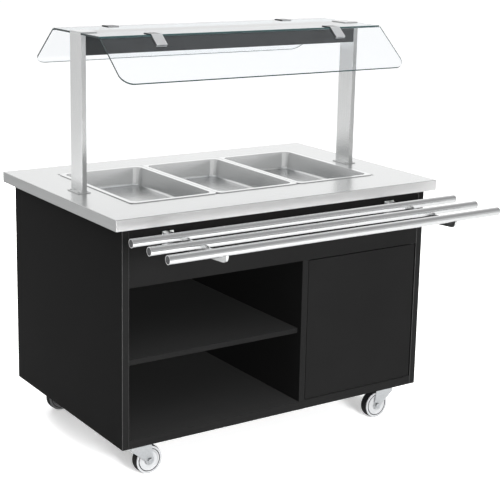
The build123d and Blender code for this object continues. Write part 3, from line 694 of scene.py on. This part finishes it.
@dataclass
class ScrewSet:
    """Socket-head screws of one size that point one way on one body."""

    name: str
    places_mm: list[Triple]
    toward: Toward
    head: Head
    finish: Finish = ZINC

    TREE = "screw_heads"
    ROUND_SIDES = 24
    # Shares of the head's height in its straight wall and socket, and of its width in its crown.
    WALL = 0.5
    SOCKET_DEPTH = 0.6
    CROWN = 0.8

    @classmethod
    def tree(cls) -> Tree:
        """Build the tree that sets one turned head with a socket on each point.

        Returns:
            The tree, made on its first use.
        """
        known = bpy.data.node_groups.get(cls.TREE)
        if known is not None:
            return known
        tree = new_tree(cls.TREE, {
            "Points": "Geometry", "Head Radius": "Float", "Head Height": "Float", "Socket Radius": "Float",
            "Axis": "Vector", "Finish": "Material"})
        given = add_node(tree, "NodeGroupInput").outputs
        half, deep = (add_node(tree, "ShaderNodeMath", {
            0: given["Head Height"], 1: share}, operation="MULTIPLY").outputs[0]
            for share in (cls.WALL, -cls.SOCKET_DEPTH))
        ratio = add_node(tree, "ShaderNodeMath", {
            0: given["Socket Radius"], 1: given["Head Radius"]}, operation="DIVIDE").outputs[0]
        disc = add_node(tree, "GeometryNodeMeshCircle", {
            "Vertices": cls.ROUND_SIDES, "Radius": given["Head Radius"]}, fill_type="NGON")
        wall = add_node(tree, "GeometryNodeExtrudeMesh", {"Mesh": disc.outputs["Mesh"], "Offset Scale": half})
        dome = add_node(tree, "GeometryNodeExtrudeMesh", {
            "Mesh": wall.outputs["Mesh"], "Selection": wall.outputs["Top"], "Offset Scale": half})
        crown = add_node(tree, "GeometryNodeScaleElements", {
            "Geometry": dome.outputs["Mesh"], "Selection": dome.outputs["Top"], "Scale": cls.CROWN})
        inset = add_node(tree, "GeometryNodeExtrudeMesh", {
            "Mesh": crown.outputs["Geometry"], "Selection": dome.outputs["Top"], "Offset Scale": 0.0})
        mouth = add_node(tree, "GeometryNodeScaleElements", {
            "Geometry": inset.outputs["Mesh"], "Selection": inset.outputs["Top"], "Scale": ratio})
        socket = add_node(tree, "GeometryNodeExtrudeMesh", {
            "Mesh": mouth.outputs["Geometry"], "Selection": inset.outputs["Top"], "Offset Scale": deep})
        turn = add_node(tree, "FunctionNodeAlignRotationToVector", {"Vector": given["Axis"]}, axis="Z")
        heads = add_node(tree, "GeometryNodeInstanceOnPoints", {
            "Points": given["Points"], "Instance": socket.outputs["Mesh"],
            "Rotation": turn.outputs["Rotation"]})
        close_tree(tree, heads.outputs["Instances"], given["Finish"])
        return tree

    def build(self) -> bpy.types.Object:
        """Set the screws and make them one piece of the trolley.

        Returns:
            The piece.
        """
        points = bpy.data.meshes.new(f"{self.name}_points")
        points.from_pydata([tuple(v * MM for v in place) for place in self.places_mm], [], [])
        radius, height, socket = self.head.value
        heads = grown(self.name, points, self.tree(), {
            "Head Radius": radius * MM, "Head Height": height * MM, "Socket Radius": socket * MM,
            "Axis": self.toward.value, "Finish": self.finish.material()})
        smooth(heads)
        return finish_piece(self.name, heads, [self.finish], ROOT)


@dataclass
class Mark:
    """Short printed text on the operator's side of a node."""

    text: str
    x_mm: float
    z_mm: float
    height_mm: float


def print_marks(name: str, node: str, marks: Sequence[Mark], finish: Finish,
                ink_mm: float = 0.04) -> bpy.types.Object:
    """Print marks on the face of a node that looks to the operator, following its slope.

    Args:
        name: Piece name of all the marks.
        node: Construction node that carries the marks.
        marks: What is printed where.
        finish: Ink.
        ink_mm: Half the thickness of the ink.

    Returns:
        The printed piece.
    """
    carrier = bmesh.new()
    carrier.from_mesh(frame["nodes"][node].data)
    surface = BVHTree.FromBMesh(carrier)
    carrier.free()
    shape = bmesh.new()
    across = Vector((-1.0, 0.0, 0.0))
    for mark in marks:
        behind = Vector((mark.x_mm * MM, OPERATOR_M, mark.z_mm * MM))
        point, normal, _, _ = surface.ray_cast(behind, Vector(Toward.FRONT.value))
        text = bpy.data.curves.new(f"{name}_text", "FONT")
        text.body = mark.text
        text.size = mark.height_mm * MM / CAPITAL
        text.align_x = "CENTER"
        text.align_y = "CENTER"
        text.extrude = ink_mm * MM
        letters = evaluated_mesh(linked(f"{name}_draft", text))
        turn = Matrix((across, normal.cross(across), normal)).transposed().to_4x4()
        letters.transform(Matrix.Translation(point + normal * ink_mm * MM) @ turn)
        shape.from_mesh(letters)
        bpy.data.meshes.remove(letters)
    return finish_piece(name, mesh_of(name, shape), [finish], body_of_node(node))


class Assembly:
    """Sub-assembly whose pieces keep their construction shape, with rounded edges and added hardware."""

    def finishes(self) -> Looks:
        """Return the finish and the edge of each node."""
        return {}

    def details(self) -> None:
        """Add what the construction leaves out."""

    def build(self) -> None:
        """Dress every node and add the details."""
        for node, (finish, edge) in self.finishes().items():
            dress(node, [finish], edge)
        self.details()
        log.info("%s built", type(self).__name__)


@dataclass
class Cabinet(Assembly):
    """Black board cabinet with an open bay, a shelf and a door; narrow faces carry an edge band."""

    sides: tuple[str, ...] = ("side_panel_left", "side_panel_right")
    laminated: tuple[str, ...] = ("front_fascia", "rear_fascia", "cupboard_door", "partition_panel")
    # Inner boards of the bays, painted lighter as painted light.
    lit_inner: tuple[str, ...] = ("base_panel", "back_panel", "bay_ceiling", "storage_shelf")
    band_mm: float = 30.0
    radius_mm: float = 1.5
    back_y_mm: float = 554.0
    screw_x_mm: tuple[float, ...] = (-560.0, -280.0, 0.0, 280.0, 560.0)
    screw_z_mm: tuple[float, ...] = (141.0, 640.0)

    def finishes(self) -> Looks:
        """Return the finish of the door's pin plates."""
        return {"door_pivots": (BLACK_STEEL, Edge.FINE)}

    def band(self, face: Face) -> int:
        """Sort the faces of a board.

        Args:
            face: Face to sort.

        Returns:
            Two for the radius of an upright edge, which on the side panels gets a painted highlight, one for
            a narrow face with its band, else zero.
        """
        corners = [vert.co for vert in face.verts]
        width, depth, height = (max(c[i] for c in corners) - min(c[i] for c in corners) for i in range(3))
        if max(width, depth) < self.radius_mm * MM < height:
            return 2
        return int(sorted((width, depth, height))[1] < self.band_mm * MM)

    def details(self) -> None:
        """Build the boards and screw the back panel on."""
        # Upright corners of the side panels get a painted highlight; other boards keep the edge band there.
        boards = ((self.sides, LAMINATE, BAND_HIGHLIGHT), (self.laminated, LAMINATE, EDGE_BAND),
                  (self.lit_inner, MELAMINE_LIT, EDGE_BAND))
        for nodes, board, radius in boards:
            for node in nodes:
                dress(node, [board, EDGE_BAND, radius], choose=self.band)
        places = [(x, self.back_y_mm, z) for x in self.screw_x_mm for z in self.screw_z_mm]
        ScrewSet("back_panel_screws", places, Toward.BACK, Head.PANEL_SCREW).build()


class HotTop(Assembly):
    """Worktop, food pans and the heated well with its drain."""

    def finishes(self) -> Looks:
        """Return the finishes of pans, well, heating and drain."""
        pans = {f"food_pan_{place}": (PAN_STEEL, Edge.KEEP) for place in ("left", "middle", "right")}
        return pans | {
            "worktop_core": (CORE, Edge.KEEP), "water_well": (STEEL_X, Edge.KEEP),
            "pan_rest_bars": (STEEL_Y, Edge.SOFT), "heating_element": (SHEATH, Edge.KEEP),
            "drain_pipe": (STEEL_Z, Edge.FINE), "drain_valve": (BRASS, Edge.SOFT),
            "drain_lever": (LEVER, Edge.FULL),
        }

    def details(self) -> None:
        """Build the worktop, whose folded sides are duller than its top and were brushed each its own way;
        its ends carry painted shade, its front and back painted light.
        """
        # Faces looking sideways get painted shade, faces looking to the front and back painted light.
        dress("worktop", [STEEL_X, STEEL_FOLD_SHADED, STEEL_APRON_LIT], choose=facing)


@dataclass
class Canopy(Assembly):
    """Glass canopy: clear panes with green edges, bent clips, posts on foot plates, beam and lamps."""

    panes: tuple[str, ...] = ("top_glass", "front_glass", "rear_glass")
    posts: tuple[str, ...] = ("post_left", "post_right")
    post_x_mm: float = 548.0
    mid_y_mm: float = 160.0
    foot_top_mm: float = 885.0
    foot_screw_mm: tuple[float, float] = (16.0, 28.0)

    def finishes(self) -> Looks:
        """Return the finishes of all that carries the panes."""
        return {
            "post_foot_plates": (STEEL_Y, Edge.SOFT), "glass_cap_plates": (STEEL_Y, Edge.KEEP),
            "lamp_beam": (POWDER, Edge.SOFT), "lamp_diffuser": (OPAL, Edge.FINE), "lamps": (LAMP, Edge.KEEP),
        }

    def pane(self, node: str) -> bpy.types.Object:
        """Build one pane with clear faces and ground green edges.

        Args:
            node: Construction node of the pane.

        Returns:
            The dressed pane.
        """
        shape = merged_shape(node)
        # All but the two largest faces are edges.
        for face in sorted(shape.faces, key=lambda face: face.calc_area())[:-2]:
            face.material_index = 1
        mesh = settled(f"{node}_dressed", shape, Edge.KEEP)
        return finish_piece(f"{node}_dressed", mesh, [GLASS, GLASS_EDGE], ROOT, [node])

    def details(self) -> None:
        """Build panes, posts and clips, and screw the foot plates down."""
        for node in self.panes:
            self.pane(node)
        for node in self.posts:
            # Post faces looking to the front and back get painted shade.
            dress(node, [STEEL_Z, STEEL_Z, STEEL_EDGE_SHADED], Edge.FINE, facing)
        # The clips' level tabs and sides get painted shade, their straps a painted highlight.
        dress("glass_clips", [CLIP_TAB_SHADED, CLIP_EDGE_SHADE, CLIP_STRAP_LIT], Edge.FINE, clip_part)
        along, across = self.foot_screw_mm
        places = [(end * self.post_x_mm + x * along, self.mid_y_mm + y * across, self.foot_top_mm)
                  for end in ENDS for x in ENDS for y in ENDS]
        ScrewSet("foot_plate_screws", places, Toward.UP, Head.FOOT_SCREW, STEEL_Y).build()


@dataclass
class TraySlide(Assembly):
    """Tray slide: tubes with end plugs on two bolted brackets."""

    bracket_x_mm: float = 442.0
    plate_y_mm: float = -238.0
    bolt_x_mm: float = 14.2
    bolt_z_mm: tuple[float, ...] = (781.0, 814.0)

    def finishes(self) -> Looks:
        """Return the finishes of tubes, plugs and brackets."""
        return {
            "tray_tubes": (TUBE_STEEL, Edge.FINE), "tube_end_plugs": (PLUG, Edge.KEEP),
            "tray_bracket_left": (STEEL_Y, Edge.FINE), "tray_bracket_right": (STEEL_Y, Edge.FINE),
        }

    def details(self) -> None:
        """Bolt the bracket plates to the fascia."""
        places = [(end * self.bracket_x_mm + x * self.bolt_x_mm, self.plate_y_mm, z)
                  for end in ENDS for x in ENDS for z in self.bolt_z_mm]
        ScrewSet("bracket_bolts", places, Toward.FRONT, Head.BRACKET_BOLT).build()


@dataclass
class Controls(Assembly):
    """Operator's plate with a thermostat dial, two rockers and a pilot lamp."""

    plate_x_mm: float = 300.0
    plate_y_mm: float = 556.0
    plate_z_mm: float = 750.5
    screw_mm: tuple[float, float] = (150.0, 48.0)
    knob_x_mm: float = 212.0
    dial_r_mm: float = 35.0
    dial_sweep_deg: float = 270.0
    dial_ticks: int = 21
    arc_steps: int = 96
    tick_mm: Triple = (3.4, 0.7, 0.1)
    numbers: tuple[str, ...] = ("0", "30", "45", "60", "75", "90")
    number_r_mm: float = 43.0
    number_mm: float = 5.0
    pointer_r_mm: tuple[float, ...] = (11.0, 14.0, 17.0, 20.0)
    pointer_mm: float = 3.0
    switch_x_mm: tuple[float, ...] = (326.0, 388.0)
    rocker_mark_z_mm: float = 5.4
    rocker_mark_mm: float = 3.6

    TREE = "dial_ticks"

    def finishes(self) -> Looks:
        """Return the finishes of plate, knob, switches, lamp, box and gland."""
        return {
            "control_plate": (PLATE_STEEL, Edge.FINE), "thermostat_knob": (BLACK_ABS, Edge.FINE),
            "switch_housings": (BLACK_ABS, Edge.SOFT), "heat_switch": (BLACK_ABS, Edge.SOFT),
            "light_switch": (BLACK_ABS, Edge.SOFT), "pilot_lamp": (AMBER, Edge.KEEP),
            "electric_box": (ZINC, Edge.SOFT), "cable_gland": (BLACK_ABS, Edge.FINE),
        }

    def tree(self) -> Tree:
        """Build the tree that lays printed ticks along the dial's arc.

        Returns:
            The tree.
        """
        tree = new_tree(self.TREE, {
            "Centre": "Geometry", "Count": "Int", "Radius": "Float", "Start": "Float", "Sweep": "Float",
            "Tick Length": "Float", "Tick Width": "Float", "Ink": "Float", "Finish": "Material"})
        given = add_node(tree, "NodeGroupInput").outputs
        arc = add_node(tree, "GeometryNodeCurveArc", {
            "Resolution": self.arc_steps, "Radius": given["Radius"], "Start Angle": given["Start"],
            "Sweep Angle": given["Sweep"]})
        stops = add_node(tree, "GeometryNodeCurveToPoints", {
            "Curve": arc.outputs["Curve"], "Count": given["Count"]})
        size = add_node(tree, "ShaderNodeCombineXYZ", {
            0: given["Tick Length"], 1: given["Tick Width"], 2: given["Ink"]})
        tick = add_node(tree, "GeometryNodeMeshCube", {"Size": size.outputs["Vector"]})
        outward = add_node(tree, "GeometryNodeInputPosition").outputs["Position"]
        turn = add_node(tree, "FunctionNodeAlignRotationToVector", {"Vector": outward}, axis="X")
        ticks = add_node(tree, "GeometryNodeInstanceOnPoints", {
            "Points": stops.outputs["Points"], "Instance": tick.outputs["Mesh"],
            "Rotation": turn.outputs["Rotation"]})
        close_tree(tree, ticks.outputs["Instances"], given["Finish"])
        return tree

    def dial(self) -> bpy.types.Object:
        """Print the dial's ticks round the knob.

        Returns:
            The printed ticks.
        """
        sweep = math.radians(self.dial_sweep_deg)
        length, width, ink = self.tick_mm
        ticks = grown("dial", bpy.data.meshes.new("dial_centre"), self.tree(), {
            "Count": self.dial_ticks, "Radius": self.dial_r_mm * MM, "Start": math.pi / 2 - sweep / 2,
            "Sweep": sweep, "Tick Length": length * MM, "Tick Width": width * MM, "Ink": ink * MM,
            "Finish": DARK_PRINT.material()})
        face = Matrix(((-1.0, 0.0, 0.0), (0.0, 0.0, 1.0), (0.0, 1.0, 0.0))).to_4x4()
        place = Matrix.Translation(Vector((self.knob_x_mm, self.plate_y_mm, self.plate_z_mm)) * MM)
        ticks.transform(place @ face)
        return finish_piece("dial_ticks", ticks, [DARK_PRINT], ROOT)

    def round_mark(self, text: str, turn_deg: float, reach_mm: float, height_mm: float) -> Mark:
        """Place a mark round the knob's axis.

        Args:
            text: What is printed.
            turn_deg: Clockwise turn from straight up, as the operator sees it.
            reach_mm: Distance from the axis.
            height_mm: Height of the letters.

        Returns:
            The mark.
        """
        turn = math.radians(turn_deg)
        return Mark(text, self.knob_x_mm - reach_mm * math.sin(turn),
                    self.plate_z_mm + reach_mm * math.cos(turn), height_mm)

    def details(self) -> None:
        """Screw the plate on, print the dial and its numbers, and mark knob and rockers."""
        along, up = self.screw_mm
        places = [(self.plate_x_mm + x * along, self.plate_y_mm, self.plate_z_mm + z * up)
                  for x in ENDS for z in ENDS]
        ScrewSet("control_plate_screws", places, Toward.BACK, Head.PLATE_SCREW, STEEL_X).build()
        self.dial()
        last = len(self.numbers) - 1
        marks = [self.round_mark(number, self.dial_sweep_deg * (index / last - 0.5), self.number_r_mm,
                                 self.number_mm) for index, number in enumerate(self.numbers)]
        print_marks("dial_numbers", "control_plate", marks, DARK_PRINT)
        for step, reach in enumerate(self.pointer_r_mm):
            spot = self.round_mark("•", -self.dial_sweep_deg / 2, reach, self.pointer_mm)
            print_marks(f"knob_pointer_{step}", "thermostat_knob", [spot], PRINT)
        for node, x in zip(("heat_switch", "light_switch"), self.switch_x_mm):
            print_marks(f"{node}_marks", node, [
                Mark("I", x, self.plate_z_mm + self.rocker_mark_z_mm, self.rocker_mark_mm),
                Mark("O", x, self.plate_z_mm - self.rocker_mark_z_mm, self.rocker_mark_mm)], PRINT)


@dataclass
class Casters(Assembly):
    """Four swivel casters, two of them with brakes, bolted under the base."""

    swivel_x_mm: float = 505.0
    swivel_y_mm: tuple[float, float] = (-164.0, 484.0)
    plate_under_mm: float = 122.0
    bolt_mm: tuple[float, float] = (40.0, 30.0)
    axle_x_mm: float = 473.0
    axle_z_mm: float = 48.0
    groove_mm: tuple[float, float] = (36.0, 40.0)

    def finishes(self) -> Looks:
        """Return the finishes of plates, forks, treads and pedals.

        Returns:
            The finish and the edge of each node.
        """
        found: Looks = {"caster_plates": (ZINC, Edge.SOFT)}
        for corner in CORNERS:
            found[f"caster_fork_{corner}"] = (ZINC, Edge.SOFT)
            found[f"caster_tyre_{corner}"] = (RUBBER, Edge.KEEP)
        for corner in CORNERS[2:]:
            found[f"caster_brake_{corner}"] = (ZINC, Edge.SOFT)
        return found

    def groove(self, face: Face) -> int:
        """Sort the faces of a wheel.

        Args:
            face: Face to sort.

        Returns:
            One inside the groove round the wheel's side, which gets painted shade, else zero.
        """
        near, far = self.groove_mm
        reach = [math.hypot(abs(vert.co.x) - self.axle_x_mm * MM, vert.co.z - self.axle_z_mm * MM)
                 for vert in face.verts]
        return int(min(reach) > near * MM and max(reach) < far * MM)

    def details(self) -> None:
        """Build the wheels and bolt the plates to the base panel."""
        for corner in CORNERS:
            dress(f"caster_wheel_{corner}", [WHEEL, GROOVE], Edge.FINE, self.groove)
        along, across = self.bolt_mm
        places = [(end * self.swivel_x_mm + x * along, swivel_y + y * across, self.plate_under_mm)
                  for end in ENDS for swivel_y in self.swivel_y_mm for x in ENDS for y in ENDS]
        ScrewSet("caster_plate_bolts", places, Toward.DOWN, Head.CASTER_BOLT).build()


@dataclass(frozen=True)
class SoftLight:
    """Square soft light that polished faces do not mirror."""

    name: str
    place_m: Triple
    aim_m: Triple
    side_m: float
    watts: float

    def hang(self) -> None:
        """Hang the light and turn it to the point that it faces."""
        light = bpy.data.lights.new(self.name, "AREA")
        light.size = self.side_m
        light.energy = self.watts
        holder = linked(self.name, light)
        holder.location = self.place_m
        ray = Vector(self.aim_m) - Vector(self.place_m)
        holder.rotation_euler = ray.to_track_quat("-Z", "Y").to_euler()
        holder.visible_glossy = False
        holder.visible_transmission = False


@dataclass
class Studio:
    """Pale floor, soft light and the camera at the photograph's viewing angle."""

    eye_m: Triple = (-2.4381, -3.6465, 1.8041)
    heading_deg: float = 34.0036
    dip_deg: float = 12.9995
    roll_deg: float = 1.2028
    lens_mm: float = 94.62
    shift_y: float = -0.08
    floor_half_m: float = 30.0
    floor_paint: LitPaint = LitPaint("paint_pale_matt", "#f6f6f6", 0.9)
    white: str = "#ffffff"
    # Brightness of the room that steel and glass mirror, and where it changes, as parts of a unit direction.
    eye_level: float = 1.05
    overhead_level: float = 0.55
    overhead_from: tuple[float, float] = (0.12, 0.45)
    back_level: float = 1.3
    back_from: tuple[float, float] = (0.0, 0.45)
    dim_level: float = 0.7
    dim_side: Triple = (-0.8, 0.6, 0.0)
    dim_from: tuple[float, float] = (0.1, 0.9)
    dome_watts: float = 2.0
    dome_deg: float = 80.0
    lights: tuple[SoftLight, ...] = (
        SoftLight("key_light", (-0.5, -3.7, 4.0), (0.0, 0.0, 0.3), 3.0, 120.0),
        SoftLight("fill_light", (-0.6, -4.6, 1.5), (-0.1, 0.0, 0.4), 1.4, 400.0),
        SoftLight("side_light", (-3.6, 0.3, 3.4), (-0.5, 0.2, 0.4), 2.0, 58.0),
        SoftLight("low_light", (-1.3, -3.6, 0.5), (-0.5, 0.2, 0.1), 0.6, 36.0),
        SoftLight("right_light", (4.6, 0.2, 1.8), (0.0, 0.2, 0.6), 2.0, 30.0),
        SoftLight("rear_light", (0.8, 4.4, 1.6), (0.0, 0.5, 0.5), 1.6, 130.0),
    )

    def camera(self) -> None:
        """Set the camera from its place, heading, dip and roll."""
        heading, dip, roll = (math.radians(v) for v in (self.heading_deg, self.dip_deg, self.roll_deg))
        level = Vector((math.sin(heading), math.cos(heading), 0.0)) * math.cos(dip)
        ahead = level - Vector((0.0, 0.0, math.sin(dip)))
        right = Vector((math.cos(heading), -math.sin(heading), 0.0))
        up = right.cross(ahead)
        right, up = math.cos(roll) * right + math.sin(roll) * up, math.cos(roll) * up - math.sin(roll) * right
        pose = Matrix((right, up, -ahead)).transposed().to_4x4()
        pose.translation = Vector(self.eye_m)
        lens = bpy.data.cameras.new("photo_camera")
        lens.lens = self.lens_mm
        lens.shift_y = self.shift_y
        camera = linked("photo_camera", lens)
        camera.matrix_world = pose
        bpy.context.scene.camera = camera

    def dome(self) -> None:
        """Light all level faces evenly from straight above."""
        light = bpy.data.lights.new("dome_light", "SUN")
        light.energy = self.dome_watts
        light.angle = math.radians(self.dome_deg)
        holder = linked("dome_light", light)
        holder.visible_glossy = False
        holder.visible_transmission = False

    def sky(self) -> None:
        """Surround the trolley with a room: bright behind and at eye level, grey overhead and on one side."""
        world = bpy.data.worlds.new("white_room")
        world.use_nodes = True
        tree = world.node_tree
        tree.nodes.clear()
        where = add_node(tree, "ShaderNodeTexCoord").outputs["Generated"]
        axes = add_node(tree, "ShaderNodeSeparateXYZ", {"Vector": where}).outputs
        side = add_node(tree, "ShaderNodeVectorMath", {0: where, 1: self.dim_side}, operation="DOT_PRODUCT")
        front, behind, dim = (add_node(tree, "ShaderNodeMapRange", {
            "Value": value, "From Min": reach[0], "From Max": reach[1], "To Min": low, "To Max": high})
            for value, reach, low, high in (
                (axes["Z"], self.overhead_from, self.eye_level, self.overhead_level),
                (axes["Y"], self.back_from, 0.0, 1.0),
                (side.outputs["Value"], self.dim_from, 1.0, self.dim_level)))
        level = add_node(tree, "ShaderNodeMix", {
            "Factor": behind.outputs["Result"], "A": front.outputs["Result"], "B": self.back_level})
        strength = add_node(tree, "ShaderNodeMath", {
            0: level.outputs["Result"], 1: dim.outputs["Result"]}, operation="MULTIPLY")
        room, seen = (add_node(tree, "ShaderNodeBackground", {
            "Color": linear(self.white), "Strength": power}) for power in (strength.outputs[0], 1.0))
        mix = add_node(tree, "ShaderNodeMixShader", {
            0: seen_directly(tree), 1: room.outputs[0], 2: seen.outputs[0]})
        add_node(tree, "ShaderNodeOutputWorld", {"Surface": mix.outputs[0]})
        world.cycles_visibility.diffuse = False
        bpy.context.scene.world = world

    def floor(self) -> None:
        """Lay the plain pale floor, which throws no light up at the boards, so the bays stay dark."""
        half = self.floor_half_m
        mesh = bpy.data.meshes.new("studio_floor")
        mesh.from_pydata([(-half, -half, 0), (half, -half, 0), (half, half, 0), (-half, half, 0)], [],
                         [(0, 1, 2, 3)])
        mesh.materials.append(self.floor_paint.material())
        slab = linked("studio_floor", mesh)
        slab.visible_diffuse = False

    def build(self) -> None:
        """Set up floor, light and camera."""
        bpy.context.scene.view_settings.view_transform = "Standard"
        self.sky()
        self.floor()
        self.dome()
        for light in self.lights:
            light.hang()
        self.camera()


def main() -> None:
    """Build the scene in order."""
    logging.basicConfig(level=logging.INFO, format="%(name)s: %(message)s")
    Studio().build()
    for assembly in (Cabinet(), HotTop(), Canopy(), TraySlide(), Controls(), Casters()):
        assembly.build()


if __name__ == "__main__":
    main()
